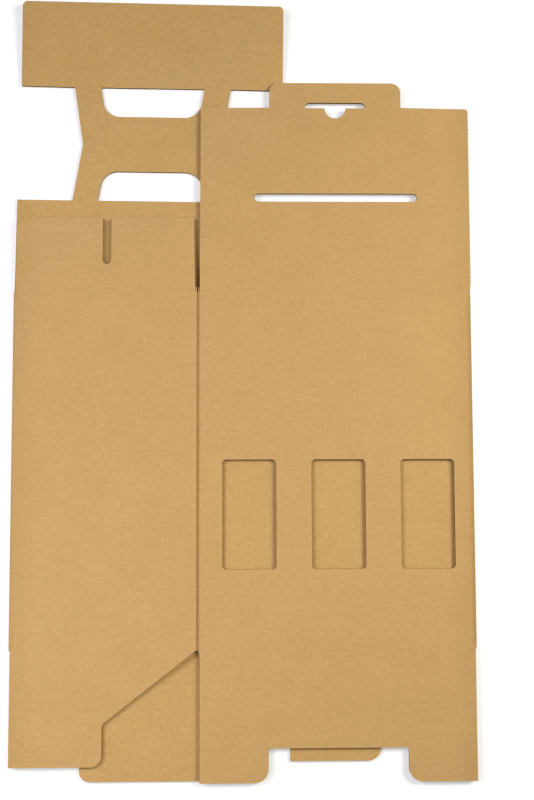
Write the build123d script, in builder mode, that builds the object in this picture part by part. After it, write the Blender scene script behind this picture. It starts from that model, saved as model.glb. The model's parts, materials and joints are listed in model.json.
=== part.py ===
"""Six-bottle carrier box of corrugated board, die-cut, glued and folded flat.

The glued sleeve lies on the floor: back and right side below, left side and front above.
X runs across the flat width, Y along the height of the walls, Z up. The origin is under the
middle of the whole outline. Lengths are millimetres, angles are degrees.
"""

import os
from math import cos, radians, sin

from build123d import *

# Board
board = 3.0
crease_depth = 0.4
crease_width = 2.4
glue_clearance = 0.17

# Sleeve
front_width = 255.5
side_depth = 171.5
body_height = 330.2
glue_flap_width = 36.0

# Front windows
window_width = 49.8
window_height = 100.3
window_pitch = 82.3
window_corner = 3.7
window_foot = 72.8
window_shift = 1.9
window_count = 3

# Side panels' top flaps
side_top_depth = 69.0
side_top_fold_relief = 2.3
side_top_seam_relief = 1.8
side_top_taper = 2.0
side_slot_width = 7.9
side_slot_foot = 25.3
side_slot_shift = 0.9
side_slot_flare = 1.2

# Lid
lid_width = 253.8
lid_depth = 175.2
lid_seam_relief = 1.6
lid_corner = 2.0
tab_width = 124.5
tab_length = 24.4
tab_corner = 9.0
handle_slot_length = 152.7
handle_slot_width = 7.5
handle_slot_height = 88.9
lock_slit_length = 57.0
lock_slit_width = 5.0
thumb_notch_radius = 9.8

# Back's top strip: half top, handle and inner top panel
half_top_depth = 86.0
strip_relief = 2.4
handle_length = 108.0
handle_root_width = 147.6
handle_waist_width = 130.0
hand_hole_height = 27.0
hand_hole_root_width = 97.8
hand_hole_grip_width = 88.0
hand_hole_corner = 16.0
top_panel_width = 248.0
top_panel_depth = 84.0
top_panel_corner = 4.7
strip_skew = 0.7
top_panel_lift = 4.0

# Bottom flaps
bottom_relief = 2.0
front_bottom_depth = 118.7
front_bottom_chamfer = 5.0
notch_width = 126.0
notch_depth = 29.3
notch_corner = 2.0
leg_corner = 12.5
tongue_width = 126.0
tongue_depth = 117.4
tongue_corner = 9.5
shoulder_depth = 30.0
tongue_root_depth = 86.0
side_bottom_depth = 103.1
side_bottom_width = 83.6
side_bottom_relief = 1.6
side_bottom_corner = 10.5
side_bottom_knee = 65.5
side_bottom_knee_corner = 6.0
flap_root_relief = 0.6
right_bottom_depth = 100.2

# Layers of the flattened sleeve: the glue flap leans under the left side, which rises by one board
fold_radius = board + (glue_flap_width * board / side_depth + glue_clearance) / 2
ply_gap = 2 * (fold_radius - board)
upper_foot = board + ply_gap
upper_top = 2 * fold_radius
side_slope = board / (side_depth - fold_radius)

# Plan
flat_width = front_width + side_depth
left_x = -flat_width / 2
right_x = flat_width / 2
seam_x = left_x + side_depth
corner_x = right_x - side_depth
back_mid_x = (left_x + corner_x) / 2
front_mid_x = (seam_x + right_x) / 2

panel_run = (top_panel_depth - top_panel_corner) * cos(radians(top_panel_lift))
skew_rise = (top_panel_width / 2 - top_panel_corner) * sin(radians(strip_skew))
strip_top = (handle_length / 2 + panel_run) * cos(radians(strip_skew)) + skew_rise
strip_reach = half_top_depth + handle_length / 2 + strip_top + top_panel_corner * cos(radians(top_panel_lift))
flat_length = max(front_bottom_depth, tongue_depth) + body_height + strip_reach
top_crease = flat_length / 2 - strip_reach
bottom_crease = top_crease - body_height

side_plane = Plane(
    origin=(left_x, 0, upper_top - fold_radius * side_slope),
    x_dir=(1, 0, side_slope),
    z_dir=(-side_slope, 0, 1),
)
front_plane = Plane.XY.offset(upper_top)
strip_plane = Plane(
    origin=(back_mid_x, top_crease + half_top_depth + handle_length / 2, 0),
    x_dir=(cos(radians(strip_skew)), -sin(radians(strip_skew)), 0),
    z_dir=(0, 0, 1),
)
top_panel_plane = Plane(
    strip_plane.location * Location((0, handle_length / 2, 0), (top_panel_lift, 0, 0))
)


def side_top_outline() -> Sketch:
    """Top flap of a side panel: X from the fold, Y from the crease, with a slot open at the far edge."""
    slot_x = side_depth / 2 + side_slot_shift
    slot_round = side_slot_width / 2
    slot_straight = side_top_depth - side_slot_foot - slot_round
    far_x = side_depth - side_top_seam_relief
    with BuildSketch() as outline:
        with BuildLine():
            Polyline(
                (side_top_fold_relief, 0),
                (side_top_fold_relief, side_top_depth),
                (far_x - side_top_taper, side_top_depth),
                (far_x, 0),
                close=True,
            )
        make_face()
        with Locations((slot_x, side_slot_foot + slot_round)):
            Circle(slot_round, mode=Mode.SUBTRACT)
            Rectangle(side_slot_width, slot_straight, align=(Align.CENTER, Align.MIN), mode=Mode.SUBTRACT)
        with BuildLine():
            Polyline(
                (slot_x - slot_round - side_slot_flare, side_top_depth),
                (slot_x - slot_round, side_top_depth - 2 * side_slot_flare),
                (slot_x + slot_round, side_top_depth - 2 * side_slot_flare),
                (slot_x + slot_round + side_slot_flare, side_top_depth),
                close=True,
            )
        make_face(mode=Mode.SUBTRACT)
    return outline.sketch


def side_bottom_outline(depth: float, relief: float) -> Sketch:
    """Bottom flap of a side panel: X from the fold, Y from the crease, slanted towards the front."""
    far_x = relief + side_bottom_width
    with BuildSketch() as outline:
        with BuildLine():
            Polyline(
                (relief, 0),
                (relief, -depth),
                (far_x, -depth),
                (far_x, -side_bottom_knee),
                (side_depth - flap_root_relief, 0),
                close=True,
            )
        make_face()
        corners = outline.vertices().group_by(Axis.X)[-2].sort_by(Axis.Y)
        fillet(corners[0], side_bottom_corner)
        knee = outline.vertices().sort_by_distance((far_x, -side_bottom_knee))[0]
        fillet(knee, side_bottom_knee_corner)
    return outline.sketch


def hand_hole_outline() -> Sketch:
    """Hand hole of the handle, narrower and rounded at the grip, with its root edge on local X."""
    with BuildSketch() as outline:
        with BuildLine():
            Polyline(
                (-hand_hole_root_width / 2, 0),
                (hand_hole_root_width / 2, 0),
                (hand_hole_grip_width / 2, hand_hole_height),
                (-hand_hole_grip_width / 2, hand_hole_height),
                close=True,
            )
        make_face()
        fillet(outline.vertices().group_by(Axis.Y)[-1], hand_hole_corner)
    return outline.sketch


def back_bottom_outline() -> Sketch:
    """Back's bottom flap, from the middle of its crease: shoulders that slant in to the lock tongue."""
    half_root = front_width / 2 - bottom_relief
    with BuildSketch() as outline:
        with BuildLine():
            Polyline(
                (0, 0),
                (half_root, 0),
                (half_root, -shoulder_depth),
                (tongue_width / 2, -tongue_root_depth),
                (tongue_width / 2, -tongue_depth),
                (0, -tongue_depth),
                close=True,
            )
        make_face()
        tip = outline.vertices().sort_by_distance((tongue_width / 2, -tongue_depth))[0]
        fillet(tip, tongue_corner)
        mirror(about=Plane.YZ)
    return outline.sketch


def root_edge(root_face: Face) -> Edge:
    """Upper edge of the face that meets the wall, where the board bends."""
    long_edges = root_face.edges().sort_by(SortBy.LENGTH)[-2:]
    return long_edges.sort_by(Axis.Z)[-1]


# Sleeve: one ring of board with half-round folds and the glue flap inside the seam
glue_x = seam_x - glue_flap_width
glue_drop = glue_flap_width * side_slope
left_bend_x = left_x + fold_radius
right_bend_x = right_x - fold_radius
body_mid_y = (top_crease + bottom_crease) / 2
with BuildPart() as sleeve:
    with BuildSketch(Plane.XZ.offset(-top_crease)):
        with BuildLine():
            Line((left_bend_x, 0), (right_bend_x, 0))
            ThreePointArc((right_bend_x, 0), (right_x, fold_radius), (right_bend_x, upper_top))
            Polyline(
                (right_bend_x, upper_top),
                (seam_x, upper_top),
                (seam_x, upper_top + board),
                (left_bend_x, upper_top),
            )
            ThreePointArc((left_bend_x, upper_top), (left_x, fold_radius), (left_bend_x, 0))
        make_face()
        with BuildLine():
            Line((left_bend_x, board), (right_bend_x, board))
            ThreePointArc((right_bend_x, board), (right_x - board, fold_radius), (right_bend_x, upper_foot))
            Polyline(
                (right_bend_x, upper_foot),
                (seam_x, upper_foot),
                (glue_x, upper_foot - glue_drop),
                (glue_x, upper_top - glue_drop),
                (left_bend_x, upper_foot),
            )
            ThreePointArc((left_bend_x, upper_foot), (left_x + board, fold_radius), (left_bend_x, board))
        make_face(mode=Mode.SUBTRACT)
    extrude(amount=body_height)

    # Pressed creases at the ends of the upper walls, where the hinged flaps start
    end_edges = sleeve.edges().filter_by(Axis.Y, reverse=True)
    crease_edges = end_edges.filter_by(
        lambda edge: edge.length > 2 * upper_top and edge.center().Z > upper_top - crease_depth
    )
    chamfer(crease_edges, crease_depth)

    # Windows through the front wall only
    with BuildSketch(front_plane):
        with Locations((front_mid_x + window_shift, bottom_crease + window_foot + window_height / 2)):
            with GridLocations(window_pitch, 0, window_count, 1):
                RectangleRounded(window_width, window_height, window_corner)
    extrude(amount=-board - ply_gap / 2, mode=Mode.SUBTRACT)

    # Back's half top and handle, lying slightly askew, with a lap that roots them in the wall
    with BuildSketch(strip_plane):
        half_top_width = front_width - 2 * strip_relief
        with Locations((0, -handle_length / 2)):
            Rectangle(half_top_width, half_top_depth, align=(Align.CENTER, Align.MAX))
        with Locations((0, -handle_length / 2 - half_top_depth + board)):
            Rectangle(half_top_width - 2 * fold_radius, 2 * board, align=(Align.CENTER, Align.MAX))
        with BuildLine():
            Polyline(
                (-handle_root_width / 2, -handle_length / 2),
                (handle_root_width / 2, -handle_length / 2),
                (handle_waist_width / 2, 0),
                (handle_root_width / 2, handle_length / 2),
                (-handle_root_width / 2, handle_length / 2),
                (-handle_waist_width / 2, 0),
                close=True,
            )
        make_face()
        with Locations((0, -handle_length / 2)):
            add(hand_hole_outline(), mode=Mode.SUBTRACT)
        with Locations((0, handle_length / 2)):
            add(hand_hole_outline(), rotation=180, mode=Mode.SUBTRACT)
    extrude(amount=board)

    # Inner top panel, sprung up a little at its crease
    with BuildSketch(top_panel_plane) as top_panel:
        Rectangle(top_panel_width, top_panel_depth, align=(Align.CENTER, Align.MIN))
        fillet(top_panel.vertices().group_by(Axis.Y)[-1], top_panel_corner)
    extrude(amount=board)

    # Right side's top flap and the lower layer's bottom flaps
    with BuildSketch(Plane.XY):
        with Locations((corner_x, top_crease)):
            add(side_top_outline())
        with Locations((corner_x, bottom_crease)):
            add(side_bottom_outline(right_bottom_depth, 0))
        with Locations((back_mid_x, bottom_crease)):
            add(back_bottom_outline())
    extrude(amount=board)

    # Handle's fold and root creases on its upper face
    with BuildSketch(strip_plane.offset(board)):
        with Locations((0, 0), (0, -handle_length / 2)):
            Rectangle(handle_root_width, crease_width)
    extrude(amount=-crease_depth, mode=Mode.SUBTRACT)

    # Creases of the lower walls on the face they rest on
    with BuildSketch(Plane.XY):
        with Locations((corner_x, body_mid_y)):
            Rectangle(crease_width, body_height)
        with Locations((0, top_crease), (0, bottom_crease)):
            Rectangle(flat_width - 2 * fold_radius, crease_width)
    extrude(amount=crease_depth, mode=Mode.SUBTRACT)
sleeve.part.label = "sleeve"

# Lid, hinged on the front's top crease
lid_x = seam_x + lid_seam_relief + lid_width / 2
tab_y = top_crease + lid_depth
with BuildPart() as lid:
    with BuildSketch(front_plane) as lid_outline:
        with Locations((lid_x, top_crease)):
            Rectangle(lid_width, lid_depth, align=(Align.CENTER, Align.MIN))
        fillet(lid_outline.vertices().group_by(Axis.Y)[-1], lid_corner)
        with Locations((lid_x, tab_y)):
            Rectangle(tab_width, tab_length, align=(Align.CENTER, Align.MIN))
        fillet(lid_outline.vertices().group_by(Axis.Y)[-1], tab_corner)
        with Locations((lid_x, top_crease + handle_slot_height)):
            SlotOverall(handle_slot_length, handle_slot_width, mode=Mode.SUBTRACT)
        with Locations((lid_x, tab_y + lock_slit_width / 2)):
            SlotOverall(lock_slit_length, lock_slit_width, mode=Mode.SUBTRACT)
        with BuildLine():
            CenterArc((lid_x, tab_y), thumb_notch_radius, 180, 180)
            Line((lid_x - thumb_notch_radius, tab_y), (lid_x + thumb_notch_radius, tab_y))
        make_face(mode=Mode.SUBTRACT)
    extrude(amount=-board)
    chamfer(root_edge(lid.faces().sort_by(Axis.Y)[0]), crease_depth)
lid.part.label = "lid"

# Left side's top flap, hinged on the rising wall
with BuildPart() as side_top_flap:
    with BuildSketch(side_plane):
        with Locations((0, top_crease)):
            add(side_top_outline())
    extrude(amount=-board)
    chamfer(root_edge(side_top_flap.faces().sort_by(Axis.Y)[0]), crease_depth)
side_top_flap.part.label = "side_top_flap"

# Left side's bottom flap
with BuildPart() as side_bottom_flap:
    with BuildSketch(side_plane):
        with Locations((0, bottom_crease)):
            add(side_bottom_outline(side_bottom_depth, side_bottom_relief))
    extrude(amount=-board)
    chamfer(root_edge(side_bottom_flap.faces().sort_by(Axis.Y)[-1]), crease_depth)
side_bottom_flap.part.label = "side_bottom_flap"

# Front's bottom flap: two legs beside the notch that takes the tongue
foot_y = bottom_crease - front_bottom_depth
with BuildPart() as front_bottom_flap:
    with BuildSketch(front_plane) as legs_outline:
        with BuildLine():
            Polyline(
                (seam_x + flap_root_relief, bottom_crease),
                (seam_x + bottom_relief, bottom_crease - front_bottom_chamfer),
                (seam_x + bottom_relief, foot_y),
                (right_x - bottom_relief, foot_y),
                (right_x - bottom_relief, bottom_crease),
                close=True,
            )
        make_face()
        with Locations((front_mid_x, foot_y)):
            Rectangle(notch_width, notch_depth, align=(Align.CENTER, Align.MIN), mode=Mode.SUBTRACT)
        notch_foot = legs_outline.vertices().group_by(Axis.Y)[0].sort_by(Axis.X)[1:3]
        fillet(notch_foot, leg_corner)
        notch_head = legs_outline.vertices().filter_by_position(
            Axis.Y, foot_y + notch_depth - notch_corner, foot_y + notch_depth + notch_corner
        )
        fillet(notch_head, notch_corner)
    extrude(amount=-board)
    chamfer(root_edge(front_bottom_flap.faces().sort_by(Axis.Y)[-1]), crease_depth)
front_bottom_flap.part.label = "front_bottom_flap"

os.makedirs("parts", exist_ok=True)
export_step(sleeve.part, "parts/sleeve.step")
export_step(lid.part, "parts/lid.step")
export_step(side_top_flap.part, "parts/side_top_flap.step")
export_step(side_bottom_flap.part, "parts/side_bottom_flap.step")
export_step(front_bottom_flap.part, "parts/front_bottom_flap.step")
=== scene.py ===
"""Looks of a flat-packed six-bottle carrier box: die-cut kraft boards, floor, light and camera.

Sizes are millimetres, and Blender's objects are metres. A board is drawn in (x, y, n): x from the left
fold, y as in the frame, and n down through the board from the face that is outside on the made-up box.
"""

import json
import logging
import math
from dataclasses import dataclass, field
from enum import Enum
from typing import Any, ClassVar, Optional, Sequence, Union

import bpy
import numpy as np
from mathutils import Matrix, Vector, kdtree
from mathutils.geometry import delaunay_2d_cdt

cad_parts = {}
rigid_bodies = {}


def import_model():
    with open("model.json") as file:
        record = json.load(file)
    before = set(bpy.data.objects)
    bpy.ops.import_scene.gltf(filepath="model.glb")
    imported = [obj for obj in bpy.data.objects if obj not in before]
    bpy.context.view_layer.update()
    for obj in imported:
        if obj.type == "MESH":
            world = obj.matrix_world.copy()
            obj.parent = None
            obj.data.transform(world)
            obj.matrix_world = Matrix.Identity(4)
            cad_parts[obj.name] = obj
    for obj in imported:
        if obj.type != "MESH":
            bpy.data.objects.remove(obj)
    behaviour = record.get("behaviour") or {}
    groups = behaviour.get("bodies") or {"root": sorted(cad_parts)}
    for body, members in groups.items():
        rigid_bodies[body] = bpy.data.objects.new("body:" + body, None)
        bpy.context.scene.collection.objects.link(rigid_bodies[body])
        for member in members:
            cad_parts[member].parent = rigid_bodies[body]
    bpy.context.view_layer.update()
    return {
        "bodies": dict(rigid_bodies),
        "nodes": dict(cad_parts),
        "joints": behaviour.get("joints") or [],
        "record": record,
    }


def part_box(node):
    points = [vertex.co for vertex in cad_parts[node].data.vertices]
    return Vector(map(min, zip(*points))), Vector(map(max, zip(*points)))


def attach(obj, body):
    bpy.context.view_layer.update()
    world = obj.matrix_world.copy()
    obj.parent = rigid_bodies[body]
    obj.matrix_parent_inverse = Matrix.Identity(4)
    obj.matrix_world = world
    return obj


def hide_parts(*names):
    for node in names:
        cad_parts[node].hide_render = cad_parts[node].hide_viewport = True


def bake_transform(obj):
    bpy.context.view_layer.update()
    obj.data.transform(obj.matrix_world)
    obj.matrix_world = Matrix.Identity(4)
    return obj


LOG = logging.getLogger("carrier_box")
MM = 0.001
TINY = 1e-9

Array = np.ndarray
Colour = tuple[float, float, float]
Point = tuple[float, float, float]

WHITE: Colour = (1.0, 1.0, 1.0)


class EdgeKind(Enum):
    """How a stretch of an outline was made."""

    CUT = 1.0
    CREASE = 0.0


class Wall(Enum):
    """Upper wall that a hinged flap hangs on."""

    FRONT = "front"
    SIDE = "left side"


class Mark(Enum):
    """What a piece keeps at each of its points for its finish."""

    SHEET = "sheet"
    CUT = "cut"
    RIM = "rim"
    CREASE = "creased"


@dataclass(frozen=True)
class Board:
    """Corrugated board: two paper liners on a fluted core."""

    thickness: float = 3.0
    rim_round: float = 0.3
    flute_pitch: float = 6.5
    flute_rise: float = 0.95
    flute_paper: float = 0.2
    flute_fade: float = 0.3
    flute_recess: float = 0.5
    core_rows: int = 5
    core_margin: float = 0.62
    crease_width: float = 2.4
    crease_depth: float = 0.06
    glue_film: float = 0.03

    def recess(self, u: Array, n: float) -> Array:
        """How far the fluted core stands back from a cut edge.

        Args:
            u: Places across the unfolded sheet.
            n: Depth in the board.

        Returns:
            Set-back of each place, none where the fluted paper itself shows.
        """
        wave = self.flute_rise * np.sin(2 * np.pi * u / self.flute_pitch)
        hollow = (np.abs(n - self.thickness / 2 - wave) - self.flute_paper) / self.flute_fade
        return self.flute_recess * np.clip(hollow, 0, 1)

    def groove(self, distance: Array) -> Array:
        """Depth of a pressed crease at a distance from its line."""
        share = np.clip(np.abs(distance) * 2 / self.crease_width, 0, 1)
        return self.crease_depth * np.cos(share * np.pi / 2) ** 2

    def wall_rows(self) -> list[tuple[float, float, bool]]:
        """Rows of points down a cut edge.

        Returns:
            Set-back, depth and whether the core shows, from the outer face to the inner one.
        """
        rim = self.rim_round
        eased = rim * (1 - math.sqrt(0.5))
        top = [(rim, 0.0, False), (eased, eased, False), (0.0, rim, False)]
        core = np.linspace(self.core_margin, self.thickness - self.core_margin, self.core_rows)
        bottom = [(inset, self.thickness - n, shows) for inset, n, shows in reversed(top)]
        return top + [(0.0, float(n), True) for n in core] + bottom


@dataclass(frozen=True)
class Plan:
    """Where the flattened sleeve's folds, creases and layers lie, with x from the left fold."""

    board: Board
    left: float
    width: float
    top_crease: float
    bottom_crease: float
    upper_top: float
    side_depth: float = 171.5
    glue_flap_width: float = 36.0
    root_relief: float = 0.4

    @classmethod
    def from_frame(cls, frame: dict[str, Any], board: Board) -> "Plan":
        """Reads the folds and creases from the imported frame.

        Args:
            board: The board that the sleeve is cut from.

        Returns:
            The plan in millimetres.
        """
        hinges = {joint["name"]: Vector(joint["pos_m"]) / MM for joint in frame["joints"]}
        low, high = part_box("sleeve")
        return cls(
            board=board,
            left=low.x / MM,
            width=(high.x - low.x) / MM,
            top_crease=hinges["lid_fold"].y,
            bottom_crease=hinges["front_bottom_fold"].y,
            upper_top=hinges["lid_fold"].z,
        )

    @property
    def fold_radius(self) -> float:
        """Outer radius of the half-round folds."""
        return self.upper_top / 2

    @property
    def fold_run(self) -> float:
        """Length of a fold along the middle of the board."""
        return math.pi * (self.fold_radius - self.board.thickness / 2)

    @property
    def side_slope(self) -> float:
        """Rise of the left side, which climbs one board from its fold to the seam."""
        return self.board.thickness / (self.side_depth - self.fold_radius)

    @property
    def front_width(self) -> float:
        """Width of the front and the back."""
        return self.width - self.side_depth

    @property
    def right_bend(self) -> float:
        """x at which the right fold starts."""
        return self.width - self.fold_radius

    @property
    def fold_middles(self) -> tuple[float, float]:
        """Sheet places of the left and the right fold."""
        return self.fold_radius - self.fold_run / 2, self.right_bend + self.fold_run / 2

    @property
    def front_turn(self) -> float:
        """Sum of x and sheet place on the front, which is folded back over the right side."""
        return 2 * self.right_bend + self.fold_run

    @property
    def side_turn(self) -> float:
        """Sum of x and sheet place on the left side, which is folded back over the back."""
        return 2 * self.fold_radius - self.fold_run

    @property
    def front_middle(self) -> float:
        """x of the front's middle."""
        return self.side_depth + self.front_width / 2

    def wall_top(self, wall: Wall, x: Array) -> Array:
        """Height of an upper wall's outer face.

        Args:
            wall: The wall.
            x: Places across it.

        Returns:
            Heights above the floor.
        """
        if wall is Wall.FRONT:
            return np.full_like(x, self.upper_top)
        return self.upper_top + (x - self.fold_radius) * self.side_slope


@dataclass(frozen=True)
class Corner:
    """Corner of an outline, its rounding, and the kind of edge that leaves it."""

    x: float
    y: float
    radius: float = 0.0
    edge: EdgeKind = EdgeKind.CUT

    def moved(self, x: float, y: float) -> "Corner":
        """The same corner with its place shifted."""
        return Corner(self.x + x, self.y + y, self.radius, self.edge)


def unit(vector: Array) -> Array:
    """The vector at length one."""
    return vector / np.linalg.norm(vector)


@dataclass
class Loop:
    """Closed run of points round an outline, with flags for the stretches that are die-cut."""

    points: Array
    cut: Array

    CUT_STEP: ClassVar[float] = 0.9
    SHORT_CUT_STEP: ClassVar[float] = 0.3
    ARC_STEP: ClassVar[float] = 0.6
    CREASE_STEP: ClassVar[float] = 3.0
    LEAST_STEPS: ClassVar[int] = 10
    LEAST_ARC_STEPS: ClassVar[int] = 3
    LEAST_LENGTH: ClassVar[float] = 1e-6
    LEAST_TURN: ClassVar[float] = 0.02
    LONGEST_MITRE: ClassVar[float] = 3.0

    @classmethod
    def trace(cls, corners: Sequence[Corner], material_inside: bool) -> "Loop":
        """Rounds an outline's corners and divides its edges.

        Args:
            corners: The outline's corners in order.
            material_inside: Whether the loop is an outer edge, and not that of a hole.

        Returns:
            The loop, turned so that the board lies on its left.
        """
        places = [np.array((corner.x, corner.y)) for corner in corners]
        bends = [
            cls._bend(places[i - 1], corner, places[(i + 1) % len(corners)])
            for i, corner in enumerate(corners)
        ]
        points: list[Array] = []
        cut: list[Array] = []
        for i, corner in enumerate(corners):
            start, end = bends[i][-1], bends[(i + 1) % len(corners)][0]
            run = cls._divide(start, end, corner.edge)
            points += [bends[i][:-1], run]
            cut += [np.ones(len(bends[i]) - 1), np.full(len(run), corner.edge.value)]
        loop = cls(np.concatenate(points), np.concatenate(cut))
        x, y = loop.points.T
        area = np.sum(x * np.roll(y, -1) - np.roll(x, -1) * y) / 2
        if (area > 0) != material_inside:
            loop = cls(loop.points[::-1], np.roll(loop.cut[::-1], -1))
        return loop

    @classmethod
    def _bend(cls, before: Array, corner: Corner, after: Array) -> Array:
        """Points round one corner.

        Args:
            before: Place of the corner before it.
            corner: The corner.
            after: Place of the corner after it.

        Returns:
            The arc's points, or the bare corner.
        """
        at = np.array((corner.x, corner.y))
        if corner.radius == 0:
            return at[None]
        back, on = unit(before - at), unit(after - at)
        half = math.acos(float(np.clip(back @ on, -1, 1))) / 2
        centre = at + unit(back + on) * corner.radius / math.sin(half)
        reach = corner.radius / math.tan(half)
        first, last = at + back * reach - centre, at + on * reach - centre
        start = math.atan2(first[1], first[0])
        sweep = (math.atan2(last[1], last[0]) - start + math.pi) % (2 * math.pi) - math.pi
        steps = max(cls.LEAST_ARC_STEPS, math.ceil(abs(sweep) * corner.radius / cls.ARC_STEP))
        angles = start + sweep * np.linspace(0, 1, steps + 1)
        return centre + corner.radius * np.stack((np.cos(angles), np.sin(angles)), 1)

    @classmethod
    def _divide(cls, start: Array, end: Array, kind: EdgeKind) -> Array:
        """Points along a straight stretch, without its end.

        Args:
            start: First point.
            end: Last point.
            kind: Whether the stretch is cut or creased.

        Returns:
            The points, none where the stretch has no length.
        """
        length = float(np.linalg.norm(end - start))
        if length < cls.LEAST_LENGTH:
            return np.empty((0, 2))
        step = cls.CREASE_STEP
        if kind is EdgeKind.CUT:
            step = min(cls.CUT_STEP, max(length / cls.LEAST_STEPS, cls.SHORT_CUT_STEP))
        count = math.ceil(length / step)
        return start + np.linspace(0, 1, count, endpoint=False)[:, None] * (end - start)

    def inset(self, by: float) -> "Loop":
        """The loop with its cut stretches moved into the board."""
        return Loop(self.points + self.set_back() * by, self.cut)

    def set_back(self) -> Array:
        """Offset of each point that moves its cut stretches in by one and leaves creases in line.

        Returns:
            One offset a point.
        """
        along = np.roll(self.points, -1, 0) - self.points
        along /= np.linalg.norm(along, axis=1, keepdims=True)
        after = np.stack((-along[:, 1], along[:, 0]), 1)
        before = np.roll(after, 1, 0)
        in_after, in_before = self.cut, np.roll(self.cut, 1)
        cross = before[:, 0] * after[:, 1] - before[:, 1] * after[:, 0]
        turns = np.abs(cross) >= self.LEAST_TURN
        safe = np.where(turns, cross, 1.0)
        mitre = np.stack(
            (
                (in_before * after[:, 1] - in_after * before[:, 1]) / safe,
                (in_after * before[:, 0] - in_before * after[:, 0]) / safe,
            ),
            1,
        )
        straight = (before + after) / 2 * ((in_before + in_after) / 2)[:, None]
        offset = np.where(turns[:, None], mitre, straight)
        size = np.linalg.norm(offset, axis=1, keepdims=True)
        return offset * np.minimum(1, self.LONGEST_MITRE / np.maximum(size, TINY))


def lattice(across: Array, along: Array) -> Array:
    """Points of a grid with the given columns and rows."""
    return np.stack(np.meshgrid(across, along), -1).reshape(-1, 2)


def spaced(low: float, high: float, step: float) -> Array:
    """Even places from low to high, about a step apart."""
    return np.linspace(low, high, max(2, round((high - low) / step) + 1))


def inside(points: Array, loops: Sequence[Loop]) -> Array:
    """Which points lie on the board.

    Args:
        points: Places to test.
        loops: The board's outer edge and the edges of its holes.

    Returns:
        A flag for each point.
    """
    odd = np.zeros(len(points), bool)
    px, py = points[:, :1], points[:, 1:]
    for loop in loops:
        start, end = loop.points, np.roll(loop.points, -1, 0)
        spans = (start[:, 1] > py) != (end[:, 1] > py)
        rise = np.where(end[:, 1] == start[:, 1], 1.0, end[:, 1] - start[:, 1])
        crossing = start[:, 0] + (py - start[:, 1]) / rise * (end[:, 0] - start[:, 0])
        odd ^= (np.sum(spans & (px < crossing), 1) % 2).astype(bool)
    return odd


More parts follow.
